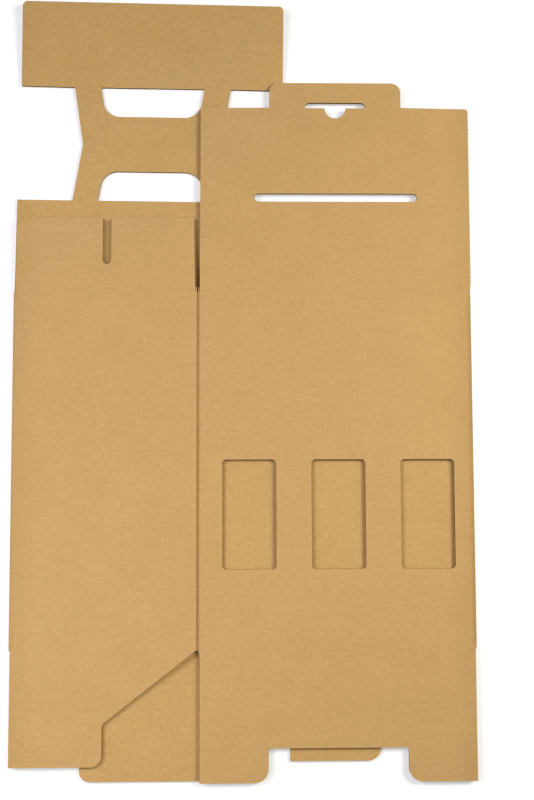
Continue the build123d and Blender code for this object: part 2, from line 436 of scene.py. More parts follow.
@dataclass
class BoardPiece:
    """Die-cut piece of board with rounded paper rims and an open fluted core at its cut edges."""

    plan: Plan
    board: Board

    name: ClassVar[str] = ""
    node: ClassVar[str] = ""
    mirrored: ClassVar[bool] = False
    GRID: ClassVar[float] = 12.0
    CLOSE_GRID: ClassVar[float] = 6.0
    CLEARANCE: ClassVar[float] = 0.45
    RIM_BAND: ClassVar[float] = 1.1
    PROBE: ClassVar[float] = 0.01
    NORMAL_LEAN: ClassVar[float] = 1e-3
    DECIMALS: ClassVar[int] = 4
    MERGE: ClassVar[float] = 1e-5
    INSIDE_ONLY: ClassVar[int] = 1
    crease_shares: ClassVar[tuple[float, ...]] = (-1.0, -0.5, 0.0, 0.5, 1.0)

    def outline(self) -> list[Corner]:
        """Corners of the outer edge."""
        raise NotImplementedError

    def holes(self) -> list[list[Corner]]:
        """Corners of each hole's edge."""
        return []

    def stations(self) -> Array:
        """Places inside the outline that the faces need points at."""
        raise NotImplementedError

    def sheet(self, x: Array) -> Array:
        """Places across the unfolded sheet."""
        return x

    def press(self, x: Array, y: Array) -> tuple[Array, Array]:
        """Depth of the pressed creases.

        Args:
            x: Places across the board.
            y: Places along it.

        Returns:
            Depths on the outer face and on the inner one.
        """
        raise NotImplementedError

    def place(self, x: Array, y: Array, n: Array) -> Array:
        """Points in the frame, in millimetres.

        Args:
            x: Places across the board.
            y: Places along it.
            n: Depths from the outer face.

        Returns:
            One row of x, y and z a point.
        """
        raise NotImplementedError

    def across_crease(self, crease: float) -> Array:
        """Rows that give a crease its pressed section."""
        return crease + np.array(self.crease_shares) * self.board.crease_width / 2

    def build(self) -> bpy.types.Object:
        """Makes the piece's mesh and object.

        Returns:
            The object, with the sheet places and cut edges kept as attributes.
        """
        loops = [Loop.trace(self.outline(), True)] + [Loop.trace(hole, False) for hole in self.holes()]
        edge = np.concatenate([loop.points for loop in loops])
        offset = np.concatenate([loop.set_back() for loop in loops])
        cut = np.concatenate([loop.cut for loop in loops])
        following = self._following(loops)
        rims = [loop.inset(self.board.rim_round) for loop in loops]
        face_edge = np.concatenate([rim.points for rim in rims])
        ring = edge + offset * self.RIM_BAND
        flat = np.concatenate((face_edge, self._inner_points(rims, face_edge, ring)))
        triangles = self._triangles(flat, following, rims[1:])

        outer_groove, inner_groove = self.press(flat[:, 0], flat[:, 1])
        outer = np.column_stack((flat, outer_groove))
        inner = np.column_stack((flat, self.board.thickness - inner_groove))
        walls = self._wall_points(edge, offset)
        points = np.concatenate((outer, inner, *walls))
        normals = [-self._down(outer), self._down(inner)]
        normals += [self._wall_normals(wall, offset) for wall in walls]

        first = np.arange(len(edge))
        rows = [first]
        rows += [2 * len(flat) + i * len(edge) + first for i in range(len(walls))]
        rows.append(len(flat) + first)
        faces = [np.flip(triangles, 1), triangles + len(flat)]
        for upper, lower in zip(rows, rows[1:]):
            faces.append(np.stack((upper, upper[following], lower[following], lower), 1))
        if self.mirrored:
            faces = [np.flip(part, 1) for part in faces]
        placed = self.place(*points.T) * MM
        mesh = bpy.data.meshes.new(self.name)
        mesh.from_pydata(placed.tolist(), [], [face for part in faces for face in part.tolist()])
        mesh.shade_smooth()
        mesh.normals_split_custom_set_from_vertices(np.concatenate(normals).tolist())
        creased = np.concatenate((outer_groove, inner_groove)) / self.board.crease_depth
        self._mark(mesh, points, creased, [row[cut > 0] for row in (rows[0], rows[-1])])
        piece = bpy.data.objects.new(self.name, mesh)
        bpy.context.scene.collection.objects.link(piece)
        return piece

    def _wall_points(self, edge: Array, offset: Array) -> list[Array]:
        """Points down the edges, between the rims of the two faces.

        Args:
            edge: Points of the outlines.
            offset: Direction of each into the board, nil within a crease.

        Returns:
            The points as drawn, one array a row.
        """
        sheet = self.sheet(edge[:, 0])
        rows = []
        for set_back, depth, core in self.board.wall_rows()[1:-1]:
            inset = np.full(len(edge), set_back)
            if core:
                inset += self.board.recess(sheet, depth)
            rows.append(np.column_stack((edge + offset * inset[:, None], np.full(len(edge), depth))))
        return rows

    def _down(self, drawn: Array) -> Array:
        """Directions through the board, from its outer face to its inner one.

        Args:
            drawn: Points as drawn.

        Returns:
            One direction of length one a point.
        """
        x, y, n = drawn.T
        way = self.place(x, y, n + self.PROBE) - self.place(x, y, n)
        return way / np.linalg.norm(way, axis=1, keepdims=True)

    def _wall_normals(self, drawn: Array, offset: Array) -> Array:
        """Shading normals of one row of points down the edge.

        Args:
            drawn: The row's points as drawn.
            offset: Direction of each into the board, nil within a crease.

        Returns:
            Normals that turn from the faces to the wall over the rounded rims.
        """
        x, y, n = drawn.T
        length = np.linalg.norm(offset, axis=1)
        dx, dy = (offset / np.maximum(length, TINY)[:, None] * self.PROBE).T
        outward = (self.place(x, y, n) - self.place(x + dx, y + dy, n)) / self.PROBE
        rim, depth = self.board.rim_round, float(n[0])
        lean = max(0.0, (depth - self.board.thickness + rim) / rim) - max(0.0, (rim - depth) / rim)
        return outward * math.sqrt(1 - lean * lean) + self._down(drawn) * (lean + self.NORMAL_LEAN)

    @staticmethod
    def _following(loops: Sequence[Loop]) -> Array:
        """Index of the point after each point, loop by loop.

        Args:
            loops: The piece's edges.

        Returns:
            One index a point.
        """
        following: list[Array] = []
        first = 0
        for loop in loops:
            following.append(first + np.roll(np.arange(len(loop.points)), -1))
            first += len(loop.points)
        return np.concatenate(following)

    def _inner_points(self, rims: Sequence[Loop], face_edge: Array, ring: Array) -> Array:
        """Points that lie on the board and clear of its edge and of each other.

        Args:
            rims: The edges of the flat face.
            face_edge: All of their points.
            ring: Points along the rims' inner side.

        Returns:
            The points that are kept, of the ring and of the stations.
        """
        places = np.concatenate((ring, np.unique(np.round(self.stations(), self.DECIMALS), axis=0)))
        places = places[inside(places, rims)]
        tree = kdtree.KDTree(len(face_edge) + len(places))
        for i, place in enumerate(face_edge):
            tree.insert((*place, 0), i)
        for i, place in enumerate(places):
            tree.insert((*place, 0), len(face_edge) + i)
        tree.balance()
        kept = [
            i
            for i, place in enumerate(places)
            if all(
                found >= len(face_edge) + i
                for _, found, _ in tree.find_range((*place, 0), self.CLEARANCE)
            )
        ]
        return places[kept]

    @classmethod
    def _triangles(cls, flat: Array, following: Array, holes: Sequence[Loop]) -> Array:
        """Triangles of the flat face.

        Args:
            flat: The face's edge points, then its inner ones.
            following: Index of the edge point after each.
            holes: Edges of the face's holes.

        Returns:
            Rows of three indices, counter-clockwise.
        """
        edges = [(i, int(after)) for i, after in enumerate(following)]
        coords = [Vector(place) for place in flat.tolist()]
        _, _, faces, origins, _, _ = delaunay_2d_cdt(coords, edges, [], cls.INSIDE_ONLY, cls.MERGE)
        index = np.array([origin[0] for origin in origins])
        triangles = index[np.array(faces)]
        for hole in holes:
            triangles = triangles[~inside(flat[triangles].mean(1), [hole])]
        a, b, c = (flat[triangles[:, k]] for k in range(3))
        turn = (b[:, 0] - a[:, 0]) * (c[:, 1] - a[:, 1]) - (b[:, 1] - a[:, 1]) * (c[:, 0] - a[:, 0])
        triangles[turn < 0] = triangles[turn < 0][:, ::-1]
        return triangles

    def _mark(self, mesh: bpy.types.Mesh, points: Array, creased: Array, rims: Sequence[Array]) -> None:
        """Keeps sheet places, cut walls, rims and pressed creases as attributes.

        Args:
            mesh: The piece's mesh.
            points: Its points as drawn, those of the faces first.
            creased: Pressed share of the faces' points.
            rims: Indices of the faces' points along cut edges.
        """
        sheet = np.column_stack((self.sheet(points[:, 0]), points[:, 1:])).astype(np.float32)
        places = mesh.attributes.new(Mark.SHEET.value, "FLOAT_VECTOR", "POINT")
        places.data.foreach_set("vector", sheet.ravel())
        wall = np.ones(len(points), np.float32)
        wall[: len(creased)] = 0
        rim = wall.copy()
        rim[np.concatenate(rims)] = 1
        crease = np.zeros(len(points), np.float32)
        crease[: len(creased)] = creased
        for mark, values in ((Mark.CUT, wall), (Mark.RIM, rim), (Mark.CREASE, crease)):
            mesh.attributes.new(mark.value, "FLOAT", "POINT").data.foreach_set("value", values)

    def dress(self, piece: bpy.types.Object, finish: bpy.types.Material) -> None:
        """Gives the piece its finish and its place in the frame.

        Args:
            piece: The piece's object.
            finish: Its material.
        """
        piece.data.materials.append(finish)
        self.hang(piece)
        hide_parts(self.node)

    def hang(self, piece: bpy.types.Object) -> None:
        """Ties the piece to the body that carries it."""
        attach(piece, self.node)


@dataclass(frozen=True)
class SideTopShape:
    """Top flap of a side panel, with a slot open at its far edge."""

    depth: float = 69.0
    fold_relief: float = 2.7
    seam_relief: float = 2.5
    taper: float = 1.3
    slot_width: float = 7.9
    slot_foot: float = 25.3
    slot_shift: float = 0.9
    slot_flare: float = 1.2

    def corners(self, side_depth: float) -> list[Corner]:
        """Corners past the root, from the seam's side to the fold's.

        Args:
            side_depth: Width of the side panel.

        Returns:
            Corners from the panel's fold and crease.
        """
        middle = side_depth / 2 + self.slot_shift
        half = self.slot_width / 2
        throat = self.depth - 2 * self.slot_flare
        return [
            Corner(side_depth - self.seam_relief - self.taper, self.depth),
            Corner(middle + half + self.slot_flare, self.depth),
            Corner(middle + half, throat),
            Corner(middle + half, self.slot_foot, half),
            Corner(middle - half, self.slot_foot, half),
            Corner(middle - half, throat),
            Corner(middle - half - self.slot_flare, self.depth),
            Corner(self.fold_relief, self.depth),
        ]


@dataclass(frozen=True)
class SideBottomShape:
    """Bottom flap of a side panel, slanted towards the front."""

    depth: float = 103.1
    relief: float = 1.6
    width: float = 83.6
    corner: float = 10.5
    knee: float = 65.5
    knee_corner: float = 6.0
    root_relief: float = 1.7

    def corners(self) -> list[Corner]:
        """Corners past the root, from the fold's side to the slanted one.

        Returns:
            Corners from the panel's fold and crease.
        """
        far = self.relief + self.width
        return [
            Corner(self.relief, -self.depth),
            Corner(far, -self.depth, self.corner),
            Corner(far, -self.knee, self.knee_corner),
        ]


@dataclass(frozen=True)
class BackBottomShape:
    """Back's bottom flap: shoulders that slant in to the lock tongue."""

    relief: float = 2.0
    shoulder_depth: float = 30.0
    tongue_root_depth: float = 86.0
    tongue_width: float = 126.0
    tongue_depth: float = 117.0
    tongue_corner: float = 9.5

    def corners(self, front_width: float) -> list[Corner]:
        """Corners past the root, from left to right.

        Args:
            front_width: Width of the back.

        Returns:
            Corners from the back's left fold and crease.
        """
        left, right = self.relief, front_width - self.relief
        middle, half = front_width / 2, self.tongue_width / 2
        return [
            Corner(left, -self.shoulder_depth),
            Corner(middle - half, -self.tongue_root_depth),
            Corner(middle - half, -self.tongue_depth, self.tongue_corner),
            Corner(middle + half, -self.tongue_depth, self.tongue_corner),
            Corner(middle + half, -self.tongue_root_depth),
            Corner(right, -self.shoulder_depth),
        ]


@dataclass(frozen=True)
class HandleStrip:
    """Back's half top, handle and inner top panel, which lie a little askew."""

    half_top_depth: float = 86.0
    relief: float = 2.4
    handle_root: float = 54.0
    panel_root: float = 55.0
    root_width: float = 147.6
    waist_width: float = 130.0
    hole_height: float = 28.0
    hole_corner: float = 16.0
    lower_hole_widths: tuple[float, float] = (100.0, 90.2)
    upper_hole_widths: tuple[float, float] = (97.8, 88.0)
    panel_left: float = 124.0
    panel_right: float = 123.1
    panel_depth: float = 81.0
    panel_corner: float = 4.7
    panel_turn: float = math.radians(0.27)
    skew: float = math.radians(0.7)
    lift: float = math.radians(4.0)

    def centre(self, plan: Plan) -> Array:
        """Place of the handle's fold, about which the strip is turned."""
        rise = self.half_top_depth + self.handle_root
        return np.array((plan.front_width / 2, plan.top_crease + rise))

    def to_sheet(self, plan: Plan, places: Array) -> Array:
        """Turns places on the strip into places on the sheet."""
        c, s = math.cos(self.skew), math.sin(self.skew)
        return places @ np.array(((c, -s), (s, c))) + self.centre(plan)

    def from_sheet(self, plan: Plan, places: Array) -> Array:
        """Turns places on the sheet into places on the strip."""
        c, s = math.cos(self.skew), math.sin(self.skew)
        return (places - self.centre(plan)) @ np.array(((c, s), (-s, c)))

    def _laid(self, plan: Plan, corners: Sequence[Corner]) -> list[Corner]:
        """Corners of the strip as they lie on the sheet.

        Args:
            plan: The carrier's plan.
            corners: Corners from the middle of the handle's fold.

        Returns:
            The same corners on the sheet.
        """
        laid = self.to_sheet(plan, np.array([(corner.x, corner.y) for corner in corners]))
        return [Corner(x, y, corner.radius) for (x, y), corner in zip(laid.tolist(), corners)]

    def corners(self, plan: Plan) -> list[Corner]:
        """Corners of the strip's outer edge, from its right root to its left one.

        Args:
            plan: The carrier's plan.

        Returns:
            Corners on the sheet.
        """
        half_top = plan.front_width / 2 - self.relief
        crease_y = -self.handle_root - self.half_top_depth
        climb = half_top * math.tan(self.skew)
        half_root, waist = self.root_width / 2, self.waist_width / 2
        tilt = math.tan(self.panel_turn)
        panel_y = self.panel_root + self.panel_depth
        corners = [
            Corner(half_top, crease_y + climb),
            Corner(half_top, -self.handle_root),
            Corner(half_root, -self.handle_root),
            Corner(waist, 0),
            Corner(half_root, self.panel_root),
            Corner(self.panel_right, self.panel_root - self.panel_right * tilt),
            Corner(self.panel_right, panel_y - self.panel_right * tilt, self.panel_corner),
            Corner(-self.panel_left, panel_y + self.panel_left * tilt, self.panel_corner),
            Corner(-self.panel_left, self.panel_root + self.panel_left * tilt),
            Corner(-half_root, self.panel_root),
            Corner(-waist, 0),
            Corner(-half_root, -self.handle_root),
            Corner(-half_top, -self.handle_root),
            Corner(-half_top, crease_y - climb + 2 * plan.root_relief),
        ]
        return self._laid(plan, corners)

    def hand_holes(self, plan: Plan) -> list[list[Corner]]:
        """Edges of the two hand holes, narrower and rounded at the grip.

        Args:
            plan: The carrier's plan.

        Returns:
            Corners of the lower and of the upper hole on the sheet.
        """
        lower = (-self.handle_root, self.hole_height, self.lower_hole_widths)
        upper = (self.panel_root, -self.hole_height, self.upper_hole_widths)
        found = []
        for root_y, height, (root_width, grip_width) in (lower, upper):
            corners = [
                Corner(-root_width / 2, root_y),
                Corner(root_width / 2, root_y),
                Corner(grip_width / 2, root_y + height, self.hole_corner),
                Corner(-grip_width / 2, root_y + height, self.hole_corner),
            ]
            found.append(self._laid(plan, corners))
        return found

    def crease_rows(self) -> tuple[float, float, float]:
        """Places of the handle's root, fold and panel creases along the strip."""
        return -self.handle_root, 0.0, self.panel_root

    def lifted(self, plan: Plan, places: Array, n: Array) -> tuple[Array, Array]:
        """Springs the inner top panel up at its crease.

        Args:
            plan: The carrier's plan.
            places: Places on the sheet.
            n: Heights above the floor.

        Returns:
            The places and heights of the sprung panel.
        """
        local = self.from_sheet(plan, places)
        root = self.panel_root
        run = np.maximum(local[:, 1] - root, 0)
        past = run > 0
        moved = root + run * math.cos(self.lift) - n * math.sin(self.lift)
        local[:, 1] = np.where(past, moved, local[:, 1])
        height = np.where(past, n * math.cos(self.lift) + run * math.sin(self.lift), n)
        return self.to_sheet(plan, local), height


@dataclass(frozen=True)
class WindowRow:
    """Row of bottle windows in the front."""

    width: float = 49.8
    height: float = 100.3
    pitch: float = 82.3
    corner: float = 3.7
    foot: float = 72.8
    shift: float = 1.9
    count: int = 3

    def outlines(self, plan: Plan) -> list[list[Corner]]:
        """Corners of each window on the sheet.

        Args:
            plan: The carrier's plan.

        Returns:
            One list of corners a window.
        """
        middle = plan.front_turn - plan.front_middle - self.shift
        foot = plan.bottom_crease + self.foot
        half = self.width / 2
        found = []
        for i in range(self.count):
            x = middle + (i - (self.count - 1) / 2) * self.pitch
            sides = [(x - half, foot), (x + half, foot)]
            sides += [(x + half, foot + self.height), (x - half, foot + self.height)]
            found.append([Corner(*side, self.corner) for side in sides])
        return found


@dataclass
class Sleeve(BoardPiece):
    """Glued ring of four walls folded flat, with the flaps of its lower layer."""

    strip: HandleStrip = field(default_factory=HandleStrip)
    windows: WindowRow = field(default_factory=WindowRow)
    side_top: SideTopShape = field(default_factory=SideTopShape)
    side_bottom: SideBottomShape = field(
        default_factory=lambda: SideBottomShape(depth=100.0, relief=0.0, width=83.0, corner=12.0)
    )
    back_bottom: BackBottomShape = field(default_factory=BackBottomShape)
    lid_seam_relief: float = 1.6
    front_root_relief: float = 0.6
    seam_gap: float = 1.0
    seam_head: float = 3.4
    head_gap: float = 0.3

    name: ClassVar[str] = "folded_sleeve"
    node: ClassVar[str] = "sleeve"
    FOLD_STEP: ClassVar[float] = 0.5
    ROOT_SLACK: ClassVar[float] = 0.0024

    @property
    def seam_end(self) -> float:
        """Sheet place of the left side's free edge."""
        return self.side_end + self.seam_gap

    @property
    def side_end(self) -> float:
        """Sheet place at which the left side's full depth ends."""
        return self.plan.side_turn - self.plan.side_depth

    @property
    def front_end(self) -> float:
        """Sheet place at which the front turns into the glue flap."""
        return self.plan.front_turn - self.plan.side_depth

    @property
    def glue_end(self) -> float:
        """Sheet place of the glue flap's free edge."""
        return self.front_end + self.plan.glue_flap_width

    def outline(self) -> list[Corner]:
        """Corners round the unfolded sheet, less the four hinged flaps."""
        return self._bottom_edge() + self._top_edge()

    def _bottom_edge(self) -> list[Corner]:
        """Corners along the walls' bottom edges, from the seam to the glue flap.

        Returns:
            Corners on the sheet.
        """
        plan, y = self.plan, self.plan.bottom_crease
        bend, relief = plan.fold_radius, plan.root_relief
        right_flap = plan.front_width
        back_left = self.back_bottom.relief
        slant = plan.width - self.side_bottom.root_relief
        return [
            Corner(self.seam_end, y),
            Corner(self.side_end + self.side_bottom.root_relief, y, edge=EdgeKind.CREASE),
            Corner(plan.side_turn - bend, y),
            Corner(bend, y),
            Corner(back_left, y - relief),
            *[corner.moved(0, y) for corner in self.back_bottom.corners(plan.front_width)],
            Corner(right_flap - back_left, y),
            Corner(right_flap, y),
            *[corner.moved(right_flap, y) for corner in self.side_bottom.corners()],
            Corner(slant - relief, y - relief),
            Corner(plan.right_bend, y),
            Corner(plan.right_bend + plan.fold_run, y, edge=EdgeKind.CREASE),
            Corner(self.front_end - self.front_root_relief, y),
            Corner(self.glue_end, y),
        ]

    def _top_edge(self) -> list[Corner]:
        """Corners along the walls' top edges, from the glue flap back to the seam.

        Returns:
            Corners on the sheet.
        """
        plan, y = self.plan, self.plan.top_crease
        top = self.side_top
        right_flap = plan.front_width
        head = y + self.seam_head
        lid_end = self.front_end - self.lid_seam_relief
        flap_end = self.side_end + top.seam_relief
        return [
            Corner(self.glue_end, y),
            Corner(self.front_end, y),
            Corner(self.front_end, head),
            Corner(lid_end + self.head_gap, head),
            Corner(lid_end + self.head_gap, y),
            Corner(lid_end, y, edge=EdgeKind.CREASE),
            Corner(plan.right_bend + plan.fold_run, y),
            Corner(plan.right_bend, y),
            Corner(right_flap + plan.side_depth - top.seam_relief, y + plan.root_relief),
            *[corner.moved(right_flap, y) for corner in top.corners(plan.side_depth)],
            Corner(right_flap + top.fold_relief, y),
            *self.strip.corners(plan),
            Corner(plan.fold_radius, y),
            Corner(plan.side_turn - plan.fold_radius, y, edge=EdgeKind.CREASE),
            Corner(flap_end, y),
            Corner(flap_end - self.head_gap, y),
            Corner(flap_end - self.head_gap, head),
            Corner(self.seam_end, head),
        ]

    def holes(self) -> list[list[Corner]]:
        """Windows of the front and hand holes of the handle."""
        return self.windows.outlines(self.plan) + self.strip.hand_holes(self.plan)

    def stations(self) -> Array:
        """Grids of the walls and flaps, with close columns at folds and close rows at creases.

        Returns:
            Places on the sheet.
        """
        plan = self.plan
        low = plan.bottom_crease - self.back_bottom.tongue_depth
        high = self.strip.centre(plan)[1] + self.strip.panel_root + self.strip.panel_depth + self.GRID
        close_walls = spaced(plan.bottom_crease, plan.top_crease, self.CLOSE_GRID)
        walls = close_walls[::2]
        creases = (plan.top_crease, plan.bottom_crease)
        fold_rows = np.concatenate([close_walls] + [self.across_crease(crease) for crease in creases])
        whole = spaced(self.seam_end, self.glue_end, self.GRID)
        close_whole = spaced(self.seam_end, self.glue_end, self.CLOSE_GRID)
        lower = spaced(0, plan.width, self.GRID)
        step = self.FOLD_STEP
        grids = [
            lattice(whole, walls),
            lattice(lower, spaced(low, plan.bottom_crease, self.GRID)),
            lattice(lower, spaced(plan.top_crease, high, self.GRID)),
            lattice(self.across_crease(plan.front_width), close_walls),
            lattice(np.array((self.front_end, self.front_end + step)), close_walls),
        ]
        for start in (plan.fold_radius - plan.fold_run, plan.right_bend):
            columns = spaced(start - step, start + plan.fold_run + step, step)
            grids.append(lattice(columns, fold_rows))
        for crease in creases:
            grids.append(lattice(close_whole, self.across_crease(crease)))
        half_root = self.strip.root_width / 2
        for row in self.strip.crease_rows():
            rows = lattice(spaced(-half_root, half_root, self.CLOSE_GRID), self.across_crease(row))
            grids.append(self.strip.to_sheet(plan, rows))
        return np.concatenate(grids)

    def press(self, x: Array, y: Array) -> tuple[Array, Array]:
        """Creases of the walls on the outer face, and of the handle on the inner one.

        Args:
            x: Places across the sheet.
            y: Places along it.

        Returns:
            Depths on the outer face and on the inner one.
        """
        plan, board = self.plan, self.board
        on_walls = (y < plan.top_crease + self.GRID) & (y > plan.bottom_crease - self.GRID)
        outer = np.maximum(board.groove(y - plan.top_crease), board.groove(y - plan.bottom_crease))
        outer = np.maximum(outer, np.where(on_walls, board.groove(x - plan.front_width), 0))
        local = self.strip.from_sheet(plan, np.stack((x, y), 1))
        handle = [board.groove(local[:, 1] - row) for row in self.strip.crease_rows()]
        on_strip = (y > plan.top_crease) & (x < plan.front_width)
        return outer, np.where(on_strip, np.max(handle, 0), 0)

    def place(self, x: Array, y: Array, n: Array) -> Array:
        """Rolls the sheet into the flattened ring and lays its flaps out.

        Args:
            x: Places across the sheet.
            y: Places along it.
            n: Depths from the outer face.

        Returns:
            One row of x, y and z a point, in the frame's millimetres.
        """
        plan, radius = self.plan, self.plan.fold_radius
        slack = self.ROOT_SLACK
        upper = (x < 0) | (x > plan.right_bend + plan.fold_run)
        head = plan.top_crease + slack + np.where(upper, self.seam_head, 0)
        walls = (y < head) & (y > plan.bottom_crease - slack)
        flat, height = self.strip.lifted(plan, np.stack((x, y), 1), n)
        above = y > plan.top_crease + slack
        on_strip = above & (x < plan.front_width)
        px = np.where(on_strip, flat[:, 0], x)
        py = np.where(on_strip, flat[:, 1], y)
        pz = np.where(on_strip, height, n)

        past_right = x - plan.right_bend
        past_left = radius - x
        for past, middle, way in ((past_right, plan.right_bend, 1), (past_left, radius, -1)):
            turn = np.clip(past / plan.fold_run, 0, 1) * np.pi
            bent = walls & (past > 0)
            px = np.where(bent, middle + way * (radius - n) * np.sin(turn), px)
            pz = np.where(bent, radius - (radius - n) * np.cos(turn), pz)
        front = walls & (past_right > plan.fold_run)
        front_x = plan.front_turn - x
        glued = np.maximum(plan.side_depth - front_x, 0)
        sunk = glued * plan.side_slope + self.board.glue_film * np.clip(glued, 0, 1)
        px = np.where(front, front_x, px)
        pz = np.where(front, plan.upper_top - sunk - n, pz)
        side = walls & (past_left > plan.fold_run)
        side_x = plan.side_turn - x
        px = np.where(side, side_x, px)
        pz = np.where(side, plan.wall_top(Wall.SIDE, side_x) - n, pz)
        return np.stack((px + plan.left, py, pz), 1)


@dataclass
class HingedFlap(BoardPiece):
    """Flap of an upper wall that bends at its crease."""

    mirrored: ClassVar[bool] = True
    wall: ClassVar[Wall] = Wall.FRONT
    upwards: ClassVar[bool] = True
    HINGE_RUN: ClassVar[float] = 6.0
    HINGE_STEP: ClassVar[float] = 0.6
    LEVEL_RUN: ClassVar[float] = 45.0

    @property
    def crease(self) -> float:
        """y of the flap's crease."""
        return self.plan.top_crease if self.upwards else self.plan.bottom_crease

    @property
    def way(self) -> int:
        """Direction of y from the crease to the flap's free edge."""
        return 1 if self.upwards else -1

    def reach(self) -> float:
        """Length of the flap from its crease."""
        raise NotImplementedError

    def stations(self) -> Array:
        """A grid of the flap, with close rows over its hinge.

        Returns:
            Places on the flap.
        """
        across = spaced(0, self.plan.width, self.GRID)
        close = spaced(0, self.plan.width, self.CLOSE_GRID)
        hinge = spaced(0, self.HINGE_RUN + 2 * self.HINGE_STEP, self.HINGE_STEP)
        rest = spaced(hinge[-1], self.reach(), self.GRID)
        rows = [lattice(close, self.crease + self.way * hinge)]
        rows.append(lattice(across, self.crease + self.way * rest))
        return np.concatenate(rows)

    def sheet(self, x: Array) -> Array:
        """Places across the unfolded sheet, running on from the wall's."""
        turn = self.plan.front_turn if self.wall is Wall.FRONT else self.plan.side_turn
        return turn - x

    def press(self, x: Array, y: Array) -> tuple[Array, Array]:
        """The hinge's crease on the outer face."""
        return self.board.groove(y - self.crease), np.zeros_like(y)

    def place(self, x: Array, y: Array, n: Array) -> Array:
        """Lays the flap out, on its wall's slope at the crease and easing to level further on.

        Args:
            x: Places across the flap.
            y: Places along it.
            n: Depths from the outer face.

        Returns:
            One row of x, y and z a point, in the frame's millimetres.
        """
        share = np.clip(self.way * (y - self.crease) / self.LEVEL_RUN, 0, 1)
        eased = share * share * (3 - 2 * share)
        top = self.plan.wall_top(self.wall, x)
        return np.stack((x + self.plan.left, y, top + (self.plan.upper_top - top) * eased - n), 1)

    def hang(self, piece: bpy.types.Object) -> None:
        """Keeps the flap unparented, with its transform baked into its mesh.

        Args:
            piece: The flap's object.
        """
        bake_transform(piece)


@dataclass
class Lid(HingedFlap):
    """Front's lid, with its handle slot, tab, lock slit and thumb notch."""

    width: float = 253.15
    depth: float = 175.2
    left_shoulder: float = 0.3
    right_shoulder: float = 0.65
    right_drop: float = 0.5
    seam_relief: float = 2.3
    seam_taper: float = 0.7
    corner: float = 2.6
    root_taper: float = 0.7
    root_taper_length: float = 8.0
    tab_shift: float = 0.5
    tab_width: float = 124.5
    tab_length: float = 24.4
    tab_corner: float = 9.0
    slot_length: float = 152.7
    slot_width: float = 7.5
    slot_height: float = 88.9
    slit_length: float = 57.0
    slit_width: float = 5.0
    slit_end_share: float = 0.92
    notch_radius: float = 9.8

    name: ClassVar[str] = "lid_board"
    node: ClassVar[str] = "lid"

    @property
    def middle(self) -> float:
        """x of the middle of the tab and of the holes in line with it."""
        return self.plan.side_depth + self.seam_relief + self.width / 2 + self.tab_shift

    def reach(self) -> float:
        """Length of the lid with its tab."""
        return self.depth + self.tab_length

    def outline(self) -> list[Corner]:
        """Corners from the seam's side of the crease, round the tab.

        Returns:
            Corners in order.
        """
        y = self.crease
        left = self.plan.side_depth + self.seam_relief
        right = left + self.width
        tab_left, tab_right = self.middle - self.tab_width / 2, self.middle + self.tab_width / 2
        return [
            Corner(left - self.seam_taper, y, edge=EdgeKind.CREASE),
            Corner(self.plan.right_bend, y),
            Corner(right - self.root_taper, y + self.plan.root_relief),
            Corner(right, y + self.root_taper_length),
            Corner(right, y + self.depth - self.right_drop, self.corner),
            Corner(tab_right, y + self.depth + self.right_shoulder),
            Corner(tab_right, y + self.reach(), self.tab_corner),
            Corner(tab_left, y + self.reach(), self.tab_corner),
            Corner(tab_left, y + self.depth + self.left_shoulder),
            Corner(left, y + self.depth, self.corner),
        ]

    def holes(self) -> list[list[Corner]]:
        """Handle slot, and the lock slit with the thumb notch below it.

        Returns:
            Corners of each hole.
        """
        slot_y = self.crease + self.slot_height
        half, rise = self.slot_length / 2, self.slot_width / 2
        ends = [(-half, -rise), (half, -rise), (half, rise), (-half, rise)]
        slot = [Corner(self.middle + x, slot_y + y, rise) for x, y in ends]
        root, reach = self.crease + self.depth, self.slit_length / 2
        cap = self.slit_width * self.slit_end_share
        bay = self.notch_radius
        slit = [
            Corner(-reach, 0),
            Corner(-bay, 0),
            Corner(-bay, -bay, bay),
            Corner(bay, -bay, bay),
            Corner(bay, 0),
            Corner(reach, 0),
            Corner(reach, self.slit_width, cap),
            Corner(-reach, self.slit_width, cap),
        ]
        return [slot, [corner.moved(self.middle, root) for corner in slit]]


@dataclass
class SideTopFlap(HingedFlap):
    """Left side's top flap."""

    shape: SideTopShape = field(default_factory=SideTopShape)

    name: ClassVar[str] = "side_top_board"
    node: ClassVar[str] = "side_top_flap"
    wall: ClassVar[Wall] = Wall.SIDE

    def reach(self) -> float:
        """Length of the flap."""
        return self.shape.depth

    def outline(self) -> list[Corner]:
        """Corners from the seam's side of the crease round to the fold's.

        Returns:
            Corners in order.
        """
        plan, y = self.plan, self.crease
        return [
            Corner(plan.side_depth - self.shape.seam_relief, y),
            *[corner.moved(0, y) for corner in self.shape.corners(plan.side_depth)],
            Corner(self.shape.fold_relief, y + plan.root_relief),
            Corner(plan.fold_radius, y, edge=EdgeKind.CREASE),
        ]


@dataclass
class SideBottomFlap(HingedFlap):
    """Left side's bottom flap."""

    shape: SideBottomShape = field(default_factory=SideBottomShape)

    name: ClassVar[str] = "side_bottom_board"
    node: ClassVar[str] = "side_bottom_flap"
    wall: ClassVar[Wall] = Wall.SIDE
    upwards: ClassVar[bool] = False

    def reach(self) -> float:
        """Length of the flap."""
        return self.shape.depth

    def outline(self) -> list[Corner]:
        """Corners from the fold's side of the crease round the slanted edge.

        Returns:
            Corners in order.
        """
        plan, y = self.plan, self.crease
        return [
            Corner(plan.fold_radius, y),
            Corner(self.shape.relief, y - plan.root_relief),
            *[corner.moved(0, y) for corner in self.shape.corners()],
            Corner(plan.side_depth - self.shape.root_relief, y, edge=EdgeKind.CREASE),
        ]


